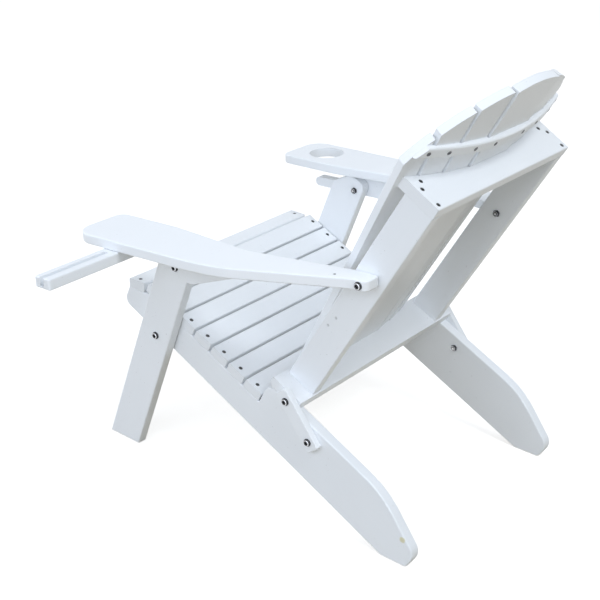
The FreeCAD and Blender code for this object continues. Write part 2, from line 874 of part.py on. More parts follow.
for index in range(7):
    name = "back_slat_%d" % (index + 1)
    centre, n, slope = slat_seat(index)
    angle = math.degrees(math.atan(slope.value))
    stretch = root(1.0 + slope * slope)
    frame = back_frame.multiply(
        FreeCAD.Placement(vector(centre, n, 0.0), FreeCAD.Rotation(FreeCAD.Vector(0, 0, 1), -angle))
    )

    def slat_edge(which, level):
        share = sized(splits[which])
        x = share * back_half(level)
        if which == index and which > 0:
            x = x + S.slat_gap / 2
        if which == index + 1 and which < 7:
            x = x - S.slat_gap / 2
        return (x - centre) * stretch

    def crown_level(which):
        share = sized(splits[which])
        x = share * back_half(crown_centre + S.crown_radius / 2)
        return crown_centre + root(S.crown_radius * S.crown_radius - x * x)

    left_top = crown_level(index)
    right_top = crown_level(index + 1)
    outline = [
        (slat_edge(index, left_top), left_top),
        (slat_edge(index, S.back_low), S.back_low),
        (slat_edge(index + 1, S.back_low), S.back_low),
        (slat_edge(index + 1, right_top), right_top),
    ]
    body = new_body(name + "_body", frame)
    sketch = new_sketch(body, "XZ_Plane", 0.0)
    arc_topped(sketch, outline, (-centre * stretch, crown_centre), S.crown_radius)
    padded(body, sketch, S.back_slat)
    long_edge = 5 * S.back_slat.value
    rounded(body, S.edge_round, lambda edge: rim(1, -S.back_slat)(edge) and edge.BoundBox.ZLength > long_edge)
    low = splits[index] * back_half(brace_mid)
    high = splits[index + 1] * back_half(brace_mid)
    tools = []
    for spot, (x, rear, way) in zip(brace_frames, brace_spots):
        if sized(low).value < x.value < sized(high).value:
            tools.append(screw_tools("%s_hole_%d" % (name, len(tools)), spot, brace_long)[1])
    keep(name, drilled(name, body, tools))

brace_outline = facets(brace_mid, S.brace_half)
end_rear = brace_rear(S.brace_half)
brace_outline = [(-S.brace_half, end_rear)] + brace_outline + [(S.brace_half, end_rear)]
body = new_body("top_brace_body", back_frame)
sketch = new_sketch(body, "XY_Plane", S.brace_low)
arc_topped(sketch, brace_outline, (0.0, -S.brace_apex - S.brace_radius), S.brace_radius)
padded(body, sketch, S.brace_high)


def rear_arc(level):
    flat = rim(2, level)

    def wanted(edge):
        return flat(edge) and isinstance(edge.Curve, Part.Circle)

    return wanted


rounded(body, S.brace_round, rear_arc(S.brace_low + S.brace_high))
rounded(body, S.edge_round, rear_arc(S.brace_low))
tools = []
screws = []
cut_angle = math.degrees(math.atan2(S.brace_cut.value, S.brace_high.value))
for side, hand in ((1, "left"), (-1, "right")):
    block = doc.addObject("Part::Box", "brace_end_%s" % hand)
    bind(block, "Length", 2 * S.brace_high)
    bind(block, "Width", 4 * S.brace_apex)
    bind(block, "Height", 4 * S.brace_high)
    spin = -cut_angle if side > 0 else cut_angle - 180.0
    middle = side * (S.brace_half - S.brace_cut / 2)
    face = FreeCAD.Placement(
        vector(middle, -3 * S.brace_apex, brace_mid),
        FreeCAD.Rotation(FreeCAD.Vector(0, 1, 0), spin),
    )
    back_up = FreeCAD.Placement(vector(0.0, 0.0, -2 * S.brace_high), FreeCAD.Rotation())
    block.Placement = back_frame.multiply(face).multiply(back_up)
    tools.append(block)
for index, spot in enumerate(brace_frames):
    tools += screw_tools("brace_hole_%d" % (index + 1), spot, brace_long)
    screws.append(screw("brace_screw_%d" % (index + 1), spot, brace_long))
keep("top_brace", drilled("top_brace", body, tools))
keep("brace_screws", grouped("brace_screw_group", screws))

# Arms, their brackets and the arm bolts

arm_half = S.arm_board / 2
arm_outline = [
    (S.arm_outer, -S.arm_front),
    (S.arm_outer, -S.arm_outer_bend),
    (tongue_out, -S.tongue_flat),
    (tongue_out, S.arm_tail),
    (S.upright_outer, S.arm_tail),
    (S.upright_outer, -27.8),
    (S.arm_waist, -287.8),
    (S.arm_inner, -487.8),
    (S.arm_inner, -S.arm_front),
]
arm_rounds = ((0, 45.0), (1, 400.0), (3, 14.0), (4, 8.0), (6, 120.0), (8, 25.0))
bracket_low = -arm_half - S.bracket_deep
bracket_outline = [
    (hinge_y - S.bracket_front, -arm_half - S.bracket_nose),
    (hinge_y + S.bracket_belly, bracket_low),
    (hinge_y + S.bracket_flat, bracket_low),
    (hinge_y + S.bracket_rear, -arm_half - S.bracket_end),
    (hinge_y + S.bracket_rear, -arm_half),
    (hinge_y - S.bracket_front, -arm_half),
]
cup_low = -arm_half - S.cup_deep
tongue_top = cup_low + S.cup_tongue_deep
cup_bracket_outline = [
    (hinge_y - S.cup_tongue, cup_low),
    (hinge_y + S.cup_flat, cup_low),
    (hinge_y + S.cup_rear, -arm_half - S.bracket_end),
    (hinge_y + S.cup_rear, -arm_half),
    (hinge_y - S.bracket_front, -arm_half),
    (hinge_y - S.bracket_front, tongue_top),
    (hinge_y - S.cup_tongue, tongue_top),
]
for side, hand in ((1, "left"), (-1, "right")):
    name = hand + "_arm"
    outline = [(x * float(side), y) for x, y in arm_outline]
    body = new_body(name + "_body", arm_frame)
    sketch = new_sketch(body, "XY_Plane", -arm_half)
    polygon(sketch, outline)
    padded(body, sketch, S.arm_board)
    for spot, radius in arm_rounds:
        rounded(body, radius, corner(2, *outline[spot]))
    rounded(body, S.edge_round, rim(2, -arm_half, arm_half))
    tools = [pin_tool(name + "_pin", *arm_pivot)]
    spot = aimed(arm_frame, side * (tongue_out - 0.5), -4 * S.tongue_flat, arm_half, (0, 0, 1))
    tools += screw_tools(name + "_top_screw", spot, S.small_long - 2.0, S.small_head)
    top_screw = screw(name + "_top_screw_solid", spot, S.small_long - 2.0, S.small_head)
    doc.recompute()
    keep(name + "_top_screw", top_screw)
    if side > 0:
        spot = aimed(arm_frame, S.phone_pivot_x, -S.phone_back, -arm_half - 1.0, (0, 0, 1))
        tools.append(cylinder("phone_screw_hole", S.bolt_shank * 0.35 + S.screw_clear, 16.5, spot))
    else:
        spot = aimed(arm_frame, -S.cup_x, -S.cup_back, -S.arm_board, (0, 0, 1))
        tools.append(cylinder("cup_hole", S.cup_radius, 2 * S.arm_board, spot))
    keep(name, drilled(name, body, tools))

    name = hand + "_arm_bracket"
    near = leg_out if side > 0 else -bracket_out
    points = bracket_outline if side > 0 else cup_bracket_outline
    body = side_board(name + "_body", arm_frame, points, near, S.board)
    if side > 0:
        rounded(body, 14.0, corner(0, *points[0]))
        rounded(body, 40.0, corner(0, *points[1]))
        rounded(body, 40.0, corner(0, *points[2]))
        rounded(body, 12.0, corner(0, *points[3]))
    else:
        rounded(body, S.cup_tongue_deep / 2 - 0.5, corner(0, *points[0]))
        rounded(body, S.cup_tongue_deep / 2 - 0.5, corner(0, *points[6]))
        rounded(body, 8.0, corner(0, *points[5]))
        rounded(body, 60.0, corner(0, *points[1]))
        rounded(body, 12.0, corner(0, *points[2]))
    outer_face = bracket_out if side > 0 else -bracket_out
    rounded(body, S.edge_round * 0.7, lambda edge: rim(0, outer_face)(edge) and not rim(2, -arm_half)(edge))
    keep(name, drilled(name, body, [pin_tool(name + "_pin", *arm_hinge)]))

    split = leg_out
    points = head_points(bracket_out)
    points += [
        (bracket_out, S.bolt_shank / 2),
        (split + S.slide_gap / 2, S.bolt_shank / 2),
        (split + S.slide_gap / 2, 0.0),
    ]
    keep(hand + "_arm_front_bolt", turned_solid(hand + "_front_bolt", points, sided(side, *arm_hinge)))
    low = leg_in - S.bolt_nut_high
    points = [
        (split - S.slide_gap / 2, 0.0),
        (split - S.slide_gap / 2, S.bolt_shank / 2),
        (leg_in, S.bolt_shank / 2),
        (leg_in, S.bolt_nut / 2),
        (low + 1.0, S.bolt_nut / 2),
        (low, S.bolt_nut / 2 - 1.0),
        (low, 0.0),
    ]
    keep(hand + "_leg_top_nut", turned_solid(hand + "_top_nut", points, sided(side, *arm_hinge)))

rear_bolts = [
    through_bolt("arm_rear_bolt_%s" % hand, side, arm_pivot[0], arm_pivot[1], upright_in, tongue_out)
    for side, hand in ((1, "left"), (-1, "right"))
]
keep("arm_rear_bolts", grouped("arm_rear_bolt_group", rear_bolts))

# Swivelling phone rest under the left arm

phone_frame = arm_frame.multiply(
    FreeCAD.Placement(vector(S.phone_pivot_x, -S.phone_back, -arm_half - S.slide_gap), FreeCAD.Rotation())
)
phone_half = S.phone_width / 2
phone_outline = [
    (-phone_half, -phone_half),
    (S.phone_reach, -phone_half),
    (S.phone_reach, phone_half),
    (-phone_half, phone_half),
]
body = new_body("phone_rest_body", phone_frame)
sketch = new_sketch(body, "XY_Plane", -S.phone_board)
polygon(sketch, phone_outline)
padded(body, sketch, S.phone_board)
rounded(body, phone_half - 0.5, corner(2, *phone_outline[0]))
rounded(body, phone_half - 0.5, corner(2, *phone_outline[3]))
rounded(body, 6.0, corner(2, *phone_outline[1]))
rounded(body, 6.0, corner(2, *phone_outline[2]))
rounded(body, S.edge_round, rim(2, -S.phone_board, 0.0))
slot = doc.addObject("Part::Box", "phone_slot_box")
bind(slot, "Length", S.phone_reach)
bind(slot, "Width", S.phone_slot)
bind(slot, "Height", S.phone_slot_deep + 5.0)
slot.Placement = phone_frame.multiply(
    FreeCAD.Placement(
        vector(S.phone_slot_from, -S.phone_slot / 2, -S.phone_slot_deep), FreeCAD.Rotation()
    )
)
spot = aimed(phone_frame, 0.0, 0.0, -S.phone_board - 1.0, (0, 0, 1))
pivot_hole = cylinder("phone_pivot_hole", pin_hole, S.phone_board + 2.0, spot)
keep("phone_rest", drilled("phone_rest", body, [slot, pivot_hole]))

pivot_low = S.phone_board + S.slide_gap
pivot_points = [
    (15.0, 0.0),
    (15.0, S.bolt_shank * 0.35),
    (0.0, S.bolt_shank * 0.35),
    (0.0, S.bolt_shank / 2),
    (-pivot_low - S.slide_gap, S.bolt_shank / 2),
    (-pivot_low - S.slide_gap, S.bolt_head / 2),
    (-pivot_low - 3.0, S.bolt_head / 2),
    (-pivot_low - 5.0, S.bolt_head / 2 - 2.0),
    (-pivot_low - 5.0, 0.0),
]
pivot_frame = arm_frame.multiply(
    FreeCAD.Placement(
        vector(S.phone_pivot_x, -S.phone_back, -arm_half),
        FreeCAD.Rotation(FreeCAD.Vector(0, 1, 0), -90.0),
    )
)
keep("phone_pivot_screw", turned_solid("phone_pivot", pivot_points, pivot_frame))

# Checks and files

doc.recompute()
for item in doc.Objects:
    if "Invalid" in item.State or "Error" in item.State:
        raise RuntimeError("%s did not build: %s" % (item.Name, item.State))
os.makedirs("parts", exist_ok=True)
for label, item in NODES:
    shape = item.Shape
    if shape.isNull() or not shape.isValid() or not shape.Solids:
        raise RuntimeError("bad shape for " + label)
    shape.exportStep("parts/%s.step" % label)
    box = shape.BoundBox
    print("%-24s solids %2d volume %10.0f x %7.1f %7.1f y %7.1f %7.1f z %7.1f %7.1f" % (
        label, len(shape.Solids), shape.Volume,
        box.XMin, box.XMax, box.YMin, box.YMax, box.ZMin, box.ZMax))
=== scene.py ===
import json
import math

import bmesh
import bpy
import numpy as np
from mathutils import Matrix, Vector


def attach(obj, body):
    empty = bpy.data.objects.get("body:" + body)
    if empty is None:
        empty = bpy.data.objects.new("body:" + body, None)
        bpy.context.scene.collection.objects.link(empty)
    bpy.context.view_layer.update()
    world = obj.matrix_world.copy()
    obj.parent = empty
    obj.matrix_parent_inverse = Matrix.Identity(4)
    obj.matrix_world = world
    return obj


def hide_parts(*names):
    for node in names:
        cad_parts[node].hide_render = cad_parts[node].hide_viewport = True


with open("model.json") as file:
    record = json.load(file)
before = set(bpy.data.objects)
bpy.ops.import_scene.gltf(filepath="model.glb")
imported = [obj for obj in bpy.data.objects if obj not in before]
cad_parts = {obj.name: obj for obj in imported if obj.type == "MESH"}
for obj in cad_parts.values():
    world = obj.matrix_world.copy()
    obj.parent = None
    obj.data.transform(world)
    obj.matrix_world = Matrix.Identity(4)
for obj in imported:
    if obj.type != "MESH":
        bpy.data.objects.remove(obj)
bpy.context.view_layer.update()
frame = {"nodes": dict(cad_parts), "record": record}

nodes = frame["nodes"]
record = frame["record"]
slots = {part["node"]: part["material_slot"] for part in record["subparts"]}
body_of = {node: body for body, members in record["behaviour"]["bodies"].items() for node in members}

# Directions of the boards

SEAT_SLOPE = math.radians(25.3)
BACK_LEAN = math.radians(29.8)
LEG_LEAN = math.radians(20.5)
ARM_RISE = math.radians(3.26)
ALONG_SEAT = Vector((0.0, math.cos(SEAT_SLOPE), -math.sin(SEAT_SLOPE)))
ALONG_BACK = Vector((0.0, math.sin(BACK_LEAN), math.cos(BACK_LEAN)))
ALONG_LEG = Vector((0.0, math.sin(LEG_LEAN), math.cos(LEG_LEAN)))
ALONG_ARM = Vector((0.0, math.cos(ARM_RISE), math.sin(ARM_RISE)))
ACROSS = Vector((1.0, 0.0, 0.0))
UPWARD = Vector((0.0, 0.0, 1.0))

# Colours, as linear values

WHITE = (1.0, 1.0, 1.0, 1.0)
LUMBER_LIGHT = (0.890, 0.913, 0.935, 1.0)
LUMBER_SHADE = (0.862, 0.886, 0.909, 1.0)
LUMBER_END = (0.815, 0.835, 0.853, 1.0)
SCUFF = (0.560, 0.550, 0.520, 1.0)
PORE = (0.420, 0.420, 0.410, 1.0)
RUBBED = (0.720, 0.690, 0.480, 1.0)
DARK_STEEL = (0.030, 0.031, 0.034, 1.0)
DARK_STEEL_WORN = (0.085, 0.087, 0.092, 1.0)
SCREW_STEEL = (0.075, 0.076, 0.080, 1.0)
SCREW_STEEL_WORN = (0.190, 0.190, 0.195, 1.0)
# Bright steel paints the highlights on the heads' shoulders and the nuts' tops; at the bolts' ends it is
# also bare metal.
HIGHLIGHT_STEEL = (0.520, 0.520, 0.530, 1.0)
HIGHLIGHT_STEEL_WORN = (0.700, 0.700, 0.710, 1.0)
PAINTED_STEEL = (0.760, 0.775, 0.790, 1.0)
PAINTED_STEEL_WORN = (0.580, 0.580, 0.580, 1.0)

# Patterns of the lumber: scales in cells per metre, stretches along the board, ranges of soft steps

BOARD_SHIFT = 37.0
DRAWN_SCALE = 160.0
DRAWN_STRETCH = 22.0
CLOUD_SCALE = 6.0
SKIN_SCALE = 1100.0
PIT_SCALE = 310.0
PIT_RANGE = (0.175, 0.145)
END_RANGE = (0.94, 0.99)
SAW_SCALE = 700.0
SAW_STRETCH = 30.0
SAW_LEAN = 0.01
EDGE_RADIUS = 0.0012
EDGE_SAMPLES = 6
SCUFF_RADIUS = 0.0030
SCUFF_SAMPLES = 4
SCUFF_RANGE = (0.985, 0.90)
PATCH_SCALE = 55.0
PATCH_RANGE = (0.52, 0.70)

# How strongly the patterns show in the lumber's colour, roughness and relief

TONE_WEIGHTS = {"drawn": 0.16, "cloud": 0.60, "own": 0.24}
TONE_RANGE = (0.32, 0.62)
END_SHARE = 0.4
SCUFF_SHARE = 0.45
PIT_SHARE = 0.40
ROUGHNESS_WEIGHTS = {"drawn": 0.06, "scuffs": 0.16, "ends": 0.18, "patches": 0.05}
LUMBER_ROUGHNESS = 0.37
LUMBER_SPECULAR = 0.45
RELIEF_WEIGHTS = {"drawn": 0.10, "skin": 0.12, "pits": -0.9, "lines": 0.8}
LUMBER_RELIEF = 0.0003

# The rubbed spot that the photograph shows on the outside of the left stringer's tail

RUB_PLACE = Vector((0.281, 0.407, 0.062))
RUB_RADIUS = 0.0062
RUB_FADE = 1.7
RUB_SCALE = 240.0
RUB_RAGGED = 0.004

# Patterns of the steel

GRAIN_SCALE = 1500.0
MOTTLE_SCALE = 420.0
MOTTLE_RANGE = (0.42, 0.68)
STEEL_RELIEF = 0.0001

NOISE_ROUGHNESS = 0.55
BUMP_STRENGTH = 0.35

# Nodes of the materials


def new_material(name):
    material = bpy.data.materials.new(name)
    material.use_nodes = True
    tree = material.node_tree
    return material, tree, tree.nodes["Principled BSDF"]


def feed(tree, socket, value):
    """Gives a socket a link or a plain value."""
    if isinstance(value, bpy.types.NodeSocket):
        tree.links.new(value, socket)
    else:
        socket.default_value = value


def calc(tree, operation, *values):
    node = tree.nodes.new("ShaderNodeMath")
    node.operation = operation
    for socket, value in zip(node.inputs, values):
        feed(tree, socket, value)
    return node.outputs["Value"]


def weighed(tree, patterns, weights):
    """Sum of the patterns that have a weight, each times its weight."""
    total = 0.0
    for name, weight in weights.items():
        total = calc(tree, "MULTIPLY_ADD", patterns[name], weight, total)
    return total


def stepped(tree, value, low, high):
    """A soft step from 0 at low to 1 at high."""
    node = tree.nodes.new("ShaderNodeMapRange")
    node.interpolation_type = "SMOOTHSTEP"
    feed(tree, node.inputs["Value"], value)
    node.inputs["From Min"].default_value = low
    node.inputs["From Max"].default_value = high
    return node.outputs["Result"]


def spread(tree, value, low, high):
    """Values from 0 to 1 laid out between low and high."""
    node = tree.nodes.new("ShaderNodeMapRange")
    feed(tree, node.inputs["Value"], value)
    node.inputs["To Min"].default_value = low
    node.inputs["To Max"].default_value = high
    return node.outputs["Result"]


def blended(tree, factor, first, second):
    """The first colour where the factor is 0, the second where it is 1."""
    node = tree.nodes.new("ShaderNodeMix")
    node.data_type = "RGBA"
    feed(tree, node.inputs["Factor"], factor)
    feed(tree, node.inputs["A"], first)
    feed(tree, node.inputs["B"], second)
    return node.outputs["Result"]


def along_to(tree, first, second):
    """Cosine of the angle between two directions."""
    node = tree.nodes.new("ShaderNodeVectorMath")
    node.operation = "DOT_PRODUCT"
    feed(tree, node.inputs[0], first)
    feed(tree, node.inputs[1], second)
    return node.outputs["Value"]


def distance_to(tree, place, point):
    node = tree.nodes.new("ShaderNodeVectorMath")
    node.operation = "DISTANCE"
    feed(tree, node.inputs[0], place)
    node.inputs[1].default_value = point
    return node.outputs["Value"]


def noise(tree, place, scale, detail, shift=0.0):
    node = tree.nodes.new("ShaderNodeTexNoise")
    node.noise_dimensions = "4D"
    feed(tree, node.inputs["Vector"], place)
    feed(tree, node.inputs["W"], shift)
    node.inputs["Scale"].default_value = scale
    node.inputs["Detail"].default_value = detail
    node.inputs["Roughness"].default_value = NOISE_ROUGHNESS
    return node.outputs["Fac"]


def board_space(tree, place, direction, stretch):
    """Coordinates turned so that X runs along the direction, and squeezed along it."""
    mapping = tree.nodes.new("ShaderNodeMapping")
    mapping.vector_type = "TEXTURE"
    mapping.inputs["Rotation"].default_value = direction.to_track_quat("X", "Z").to_euler()
    mapping.inputs["Scale"].default_value = (stretch, 1.0, 1.0)
    feed(tree, mapping.inputs["Vector"], place)
    return mapping.outputs["Vector"]


def rounded_normal(tree, radius, samples):
    """Normal of the surface as if its edges had this radius."""
    bevel = tree.nodes.new("ShaderNodeBevel")
    bevel.samples = samples
    bevel.inputs["Radius"].default_value = radius
    return bevel.outputs["Normal"]


def bumped(tree, shader, height, depth, normal=None):
    bump = tree.nodes.new("ShaderNodeBump")
    bump.inputs["Strength"].default_value = BUMP_STRENGTH
    bump.inputs["Distance"].default_value = depth
    feed(tree, bump.inputs["Height"], height)
    if normal is not None:
        feed(tree, bump.inputs["Normal"], normal)
    feed(tree, shader.inputs["Normal"], bump.outputs["Normal"])


def lumber(name, direction, rubbed=False):
    """White plastic lumber: a satin skin with faint drawn lines, pores, sawn ends and scuffed edges."""
    material, tree, shader = new_material(name)
    coordinates = tree.nodes.new("ShaderNodeTexCoord")
    place = coordinates.outputs["Object"]

    # Every board has a random number of its own, which shifts its patterns and its tone.
    own = tree.nodes.new("ShaderNodeObjectInfo").outputs["Random"]
    shift = calc(tree, "MULTIPLY", own, BOARD_SHIFT)
    drawn_space = board_space(tree, place, direction, DRAWN_STRETCH)
    drawn = noise(tree, drawn_space, DRAWN_SCALE, detail=3.0, shift=shift)
    cloud = noise(tree, place, CLOUD_SCALE, detail=2.0, shift=shift)
    skin = noise(tree, place, SKIN_SCALE, detail=1.0, shift=shift)
    pits = stepped(tree, noise(tree, place, PIT_SCALE, detail=0.0, shift=shift), *PIT_RANGE)

    # Ends across the board are sawn, so they are duller and show the blade's lines.
    facing = calc(tree, "ABSOLUTE", along_to(tree, coordinates.outputs["Normal"], tuple(direction)))
    ends = stepped(tree, facing, *END_RANGE)

    # The lean keeps the blade's direction defined on boards that run across the chair.
    saw_direction = ACROSS.cross(direction) + direction * SAW_LEAN
    saw_space = board_space(tree, place, saw_direction, SAW_STRETCH)
    sawn = noise(tree, saw_space, SAW_SCALE, detail=1.0)

    # Edges are a little scuffed where hands and floors meet them.
    soft_normal = rounded_normal(tree, EDGE_RADIUS, EDGE_SAMPLES)
    wide_normal = rounded_normal(tree, SCUFF_RADIUS, SCUFF_SAMPLES)
    geometry = tree.nodes.new("ShaderNodeNewGeometry")
    turn = along_to(tree, wide_normal, geometry.outputs["Normal"])
    edges = stepped(tree, turn, *SCUFF_RANGE)
    patches = stepped(tree, noise(tree, place, PATCH_SCALE, detail=3.0, shift=shift), *PATCH_RANGE)

    patterns = {
        "own": own,
        "drawn": drawn,
        "cloud": cloud,
        "skin": skin,
        "pits": pits,
        "ends": ends,
        "lines": calc(tree, "MULTIPLY", ends, sawn),
        "patches": patches,
        "scuffs": calc(tree, "MULTIPLY", edges, patches),
    }

    tone = weighed(tree, patterns, TONE_WEIGHTS)
    colour = blended(tree, stepped(tree, tone, *TONE_RANGE), LUMBER_SHADE, LUMBER_LIGHT)
    stains = (("ends", END_SHARE, LUMBER_END), ("scuffs", SCUFF_SHARE, SCUFF), ("pits", PIT_SHARE, PORE))
    for pattern, share, stain in stains:
        colour = blended(tree, calc(tree, "MULTIPLY", patterns[pattern], share), colour, stain)
    if rubbed:
        ragged = noise(tree, place, RUB_SCALE, detail=2.0)
        away = calc(tree, "MULTIPLY_ADD", ragged, RUB_RAGGED, distance_to(tree, place, RUB_PLACE))
        spot = stepped(tree, away, RUB_RADIUS * RUB_FADE, RUB_RADIUS)
        colour = blended(tree, spot, colour, RUBBED)
    feed(tree, shader.inputs["Base Color"], colour)

    rough = weighed(tree, patterns, ROUGHNESS_WEIGHTS)
    feed(tree, shader.inputs["Roughness"], calc(tree, "ADD", rough, LUMBER_ROUGHNESS))
    height = weighed(tree, patterns, RELIEF_WEIGHTS)
    bumped(tree, shader, height, LUMBER_RELIEF, soft_normal)
    shader.inputs["Specular IOR Level"].default_value = LUMBER_SPECULAR
    return material


def steel(name, fresh, worn, roughness, metallic):
    """Coated, painted or bright steel with a fine mottled skin and a range of roughness; the bright steel
    paints highlights.
    """
    material, tree, shader = new_material(name)
    place = tree.nodes.new("ShaderNodeTexCoord").outputs["Object"]
    grain = noise(tree, place, GRAIN_SCALE, detail=3.0)
    mottle = stepped(tree, noise(tree, place, MOTTLE_SCALE, detail=2.0), *MOTTLE_RANGE)
    feed(tree, shader.inputs["Base Color"], blended(tree, mottle, fresh, worn))
    feed(tree, shader.inputs["Roughness"], spread(tree, grain, *roughness))
    bumped(tree, shader, grain, STEEL_RELIEF)
    shader.inputs["Metallic"].default_value = metallic
    return material


# Finish of the boards and fasteners

rail_board = lumber("lumber_rail", ALONG_SEAT)
rubbed_rail = lumber("lumber_rubbed_rail", ALONG_SEAT, rubbed=True)
cross_board = lumber("lumber_cross", ACROSS)
back_board = lumber("lumber_back", ALONG_BACK)
leg_board = lumber("lumber_leg", ALONG_LEG)
arm_board = lumber("lumber_arm", ALONG_ARM)
dark_steel = steel("steel_dark", DARK_STEEL, DARK_STEEL_WORN, roughness=(0.25, 0.42), metallic=0.85)
screw_steel = steel("steel_screw", SCREW_STEEL, SCREW_STEEL_WORN, roughness=(0.32, 0.50), metallic=0.85)
# The bright steel paints highlights on the heads and nuts.
highlight_steel = steel("steel_highlight", HIGHLIGHT_STEEL, HIGHLIGHT_STEEL_WORN, roughness=(0.22, 0.40), metallic=1.0)
painted_steel = steel(
    "steel_painted", PAINTED_STEEL, PAINTED_STEEL_WORN, roughness=(0.35, 0.50), metallic=0.0
)

# The first of these words that is in a board's name gives its finish.
BOARD_FINISH = {
    "left_stringer": rubbed_rail,
    "right_stringer": rail_board,
    "fold_link": rail_board,
    "seat_slat": cross_board,
    "cross_board": cross_board,
    "top_brace": cross_board,
    "phone_rest": cross_board,
    "back_upright": back_board,
    "back_slat": back_board,
    "front_leg": leg_board,
    "arm": arm_board,
}


def finish_of(node):
    if slots[node] == "fastener":
        return dark_steel
    return next(finish for word, finish in BOARD_FINISH.items() if word in node)


for node in nodes:
    finishes = nodes[node].data.materials
    finishes.clear()
    finishes.append(finish_of(node))

# New pieces


def add_object(name, data):
    item = bpy.data.objects.new(name, data)
    bpy.context.scene.collection.objects.link(item)
    return item


def add_piece(name, data, node):
    """A piece that takes the place of a CAD node and moves with its body."""
    piece = add_object(name, data)
    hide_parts(node)
    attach(piece, body_of[node])


# Arms whose middle lies a little nearer the seat than in the solids, as in the photograph

ARM_BOW = 0.0085
BOW_START, BOW_FULL = -0.530, -0.450
BOW_EASE, BOW_END = -0.350, -0.230


def eased(value, low, high):
    """A soft step from 0 at low to 1 at high."""
    share = min(max((value - low) / (high - low), 0.0), 1.0)
    return share * share * (3.0 - 2.0 * share)


def add_bowed_arm(node, pivot):
    """A copy of an arm whose middle is moved towards the seat; lengths run forward from its pivot."""
    data = nodes[node].data.copy()
    for vertex in data.vertices:
        along = (vertex.co - pivot).dot(ALONG_ARM)
        share = eased(along, BOW_START, BOW_FULL) * (1.0 - eased(along, BOW_EASE, BOW_END))
        vertex.co.x -= math.copysign(ARM_BOW * share, vertex.co.x)
    add_piece(node + "_bowed", data, node)


for joint in record["behaviour"]["joints"]:
    if joint["child"] in ("left_arm", "right_arm"):
        add_bowed_arm(joint["child"], Vector(joint["pos_m"]))

# Fasteners with their drives, in place of the plain turned pins

POINTS_AROUND = 36
ROUND, SQUARE, HEX = 0, 4, 6
MERGE_DIGITS = 6
RIM_SHARE = 0.999
LEVEL_SLACK = 1e-5
NEAR_AXIS = 1e-4
SHANK_LIMIT = 0.8
TIP_LENGTH = 0.3
TIP_WIDTH = 0.7
SPIN_START = 10.0
SPIN_STEP = 40.0
SHARP_ANGLE = math.radians(32.0)


class Ring:
    """One ring of a fastener.

    It has its number of sides, its radius or half width and its level below the top.
    Faces between two marked rings take bright steel, a painted highlight, which at a bolt's end is also
    bare metal.
    """

    def __init__(self, sides, size, level, bare_and_highlit=False):
        self.sides = sides
        self.size = size
        self.level = level
        self.bare_and_highlit = bare_and_highlit

    def reach(self, angle):
        """Distance from the axis to the ring at an angle."""
        if self.sides == ROUND:
            return self.size
        step = 2.0 * math.pi / self.sides
        return self.size / math.cos((angle + step / 2) % step - step / 2)


def button_head(radius, high):
    """A low dome with a six sided socket, with a highlight painted in bright steel on its shoulder."""
    return [
        Ring(HEX, 0.36 * radius, -0.50 * high),
        Ring(HEX, 0.36 * radius, -0.06 * high),
        Ring(ROUND, 0.47 * radius, 0.0),
        Ring(ROUND, 0.60 * radius, -0.05 * high, bare_and_highlit=True),
        Ring(ROUND, 0.78 * radius, -0.18 * high, bare_and_highlit=True),
        Ring(ROUND, 0.91 * radius, -0.40 * high),
        Ring(ROUND, 0.98 * radius, -0.68 * high),
        Ring(ROUND, radius, -0.92 * high),
        Ring(ROUND, 0.985 * radius, -high),
    ]


def lock_nut(radius, high):
    """A six sided nut with a round collar, and the bolt's end in it, both bright on top: a painted
    highlight, which at the bolt's end is also bare metal.
    """
    half = radius * math.cos(math.pi / HEX)
    return [
        Ring(ROUND, 0.36 * radius, 0.0, bare_and_highlit=True),
        Ring(ROUND, 0.50 * radius, -0.07 * high),
        Ring(ROUND, 0.50 * radius, -0.17 * high),
        Ring(ROUND, 0.60 * radius, -0.08 * high, bare_and_highlit=True),
        Ring(ROUND, 0.74 * radius, -0.09 * high, bare_and_highlit=True),
        Ring(ROUND, 0.83 * radius, -0.20 * high),
        Ring(ROUND, 0.84 * radius, -0.33 * high),
        Ring(HEX, 0.975 * half, -0.40 * high),
        Ring(HEX, half, -0.47 * high),
        Ring(HEX, half, -0.95 * high),
        Ring(HEX, 0.97 * half, -high),
    ]


def screw_head(radius, high):
    """A flat head with a square drive, tapered below."""
    return [
        Ring(SQUARE, 0.30 * radius, -0.60 * high),
        Ring(SQUARE, 0.30 * radius, -0.05 * high),
        Ring(ROUND, 0.50 * radius, 0.0),
        Ring(ROUND, 0.84 * radius, -0.03 * high),
        Ring(ROUND, 0.95 * radius, -0.10 * high),
        Ring(ROUND, radius, -0.22 * high),
        Ring(ROUND, 0.98 * radius, -0.34 * high),
        Ring(ROUND, 0.55 * radius, -high),
    ]


# Head, steel and CAD nodes of every kind of fastener
HEADS = {
    "through": button_head,
    "headed": button_head,
    "nut": lock_nut,
    "screw": screw_head,
    "painted": screw_head,
}
STEELS = {
    "through": dark_steel,
    "headed": dark_steel,
    "nut": dark_steel,
    "screw": screw_steel,
    "painted": painted_steel,
}
FASTENERS = {
    "through": ["link_lower_bolts", "leg_pivot_bolts", "arm_rear_bolts"],
    "headed": ["link_upper_screws", "left_arm_front_bolt", "right_arm_front_bolt", "phone_pivot_screw"],
    "nut": ["left_leg_top_nut", "right_leg_top_nut"],
    "screw": [
        "seat_slat_screws",
        "brace_screws",
        "cross_board_screws",
        "left_arm_top_screw",
        "right_arm_top_screw",
    ],
    "painted": ["upright_side_screws"],
}


def islands(mesh):
    """The separate solids of a mesh, each as an array of its points."""
    corners = np.array([vertex.co for vertex in mesh.vertices])
    points, merged = np.unique(np.round(corners, MERGE_DIGITS), axis=0, return_inverse=True)
    merged = merged.ravel()
    owner = list(range(len(points)))

    def root(item):
        while owner[item] != item:
            owner[item] = owner[owner[item]]
            item = owner[item]
        return item

    for polygon in mesh.polygons:
        first, *others = [root(merged[index]) for index in polygon.vertices]
        for other in others:
            owner[root(other)] = first
    groups = {}
    for item in range(len(points)):
        groups.setdefault(root(item), []).append(item)
    return [points[members] for _, members in sorted(groups.items())]


